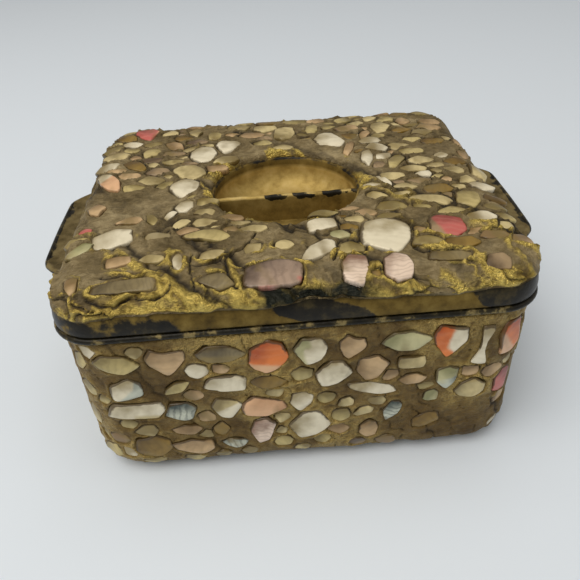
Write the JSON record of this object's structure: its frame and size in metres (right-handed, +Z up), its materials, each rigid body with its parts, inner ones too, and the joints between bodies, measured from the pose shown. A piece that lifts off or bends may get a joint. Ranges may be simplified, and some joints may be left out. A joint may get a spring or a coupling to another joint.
{
  "type": "inlaid jewelry box",
  "caption": "Small rectangular tin box with rounded corners, ear handles and a lift-off lid with a round finger well, coated in gilded putty set with shell and stone chips.",
  "frame": {"origin": "centre of the underside, where the box stands", "axes": "+X along the long sides to the right, +Y to the back, +Z up; the front with the best chips faces -Y"},
  "size_m": [0.1726, 0.1311, 0.0778],
  "materials": {
    "black_enamel": "chipped black enamel with worn gold paint",
    "gilt_tin": "satin gold paint over black enamel, worn at the edges",
    "wall_putty": "smoothed putty with a soft gold paint, matt in the creases",
    "lid_putty": "crinkled putty with gold paint on its ridges",
    "white_shell": "polished shell",
    "cream_shell": "polished shell",
    "beige_shell": "polished shell",
    "green_stone": "polished stone",
    "ochre_stone": "polished stone",
    "grey_pearl": "iridescent shell",
    "coral_stone": "polished stone",
    "crimson_stone": "polished stone"
  },
  "bodies": {
    "root": {"lid_chip_arch_cream": "cream_shell", "lid_chip_back_cream": "cream_shell", "lid_chip_back_wedge": "white_shell", "lid_chip_bar_long": "white_shell", "lid_chip_corner_crimson": "crimson_stone", "lid_chip_curl_white": "white_shell", "lid_chip_edge_cream": "cream_shell", "lid_chip_edge_rust": "coral_stone", "lid_chip_fin_white": "white_shell", "lid_chip_front_rose": "beige_shell", "lid_chip_heart_crimson": "crimson_stone", "lid_chip_kite_white": "white_shell", "lid_chip_pearl_faceted": "grey_pearl", "lid_chip_pearl_mauve": "grey_pearl", "lid_chip_pearl_striped": "grey_pearl", "lid_chip_round_white": "white_shell", "lid_chip_shard_grey": "grey_pearl", "lid_chip_shell_white": "white_shell", "lid_chip_slab_grey": "grey_pearl", "lid_chip_slab_large": "white_shell", "lid_chip_wedge_bright": "white_shell", "lid_chip_wedge_olive": "cream_shell", "lid_chip_wedge_white": "white_shell", "lid_putty": "lid_putty", "tin_lid": "gilt_tin", "tin_tub": "black_enamel", "tub_putty": "wall_putty", "wall_chip_almond_beige": "beige_shell", "wall_chip_almond_green": "green_stone", "wall_chip_almond_ochre": "ochre_stone", "wall_chip_almond_olive": "cream_shell", "wall_chip_bar_cream": "cream_shell", "wall_chip_bar_long": "white_shell", "wall_chip_bar_white": "white_shell", "wall_chip_corner_coral": "coral_stone", "wall_chip_corner_pink": "crimson_stone", "wall_chip_crescent_grey": "grey_pearl", "wall_chip_drop_white": "white_shell", "wall_chip_heart_beige": "beige_shell", "wall_chip_heart_coral": "coral_stone", "wall_chip_heart_coral_white": "coral_stone", "wall_chip_lump_ochre": "ochre_stone", "wall_chip_pebble_cream": "cream_shell", "wall_chip_pebble_green": "green_stone", "wall_chip_pebble_white": "white_shell", "wall_chip_slab_big": "white_shell", "wall_chip_slab_blue": "grey_pearl", "wall_chip_slab_white": "white_shell", "wall_chip_slab_white_blue": "white_shell", "wall_chip_sliver_blue": "grey_pearl", "wall_chip_triangle_clear": "grey_pearl", "wall_chip_waist_white": "white_shell", "wall_chip_wedge_beige": "beige_shell", "wall_chip_wedge_cream": "cream_shell", "wall_chip_wedge_long": "white_shell", "wall_chip_wedge_olive": "cream_shell", "wall_chip_wedge_pink": "beige_shell", "wall_chip_wedge_rose": "beige_shell", "wall_chip_wedge_salmon": "coral_stone"}
  },
  "joints": []
}
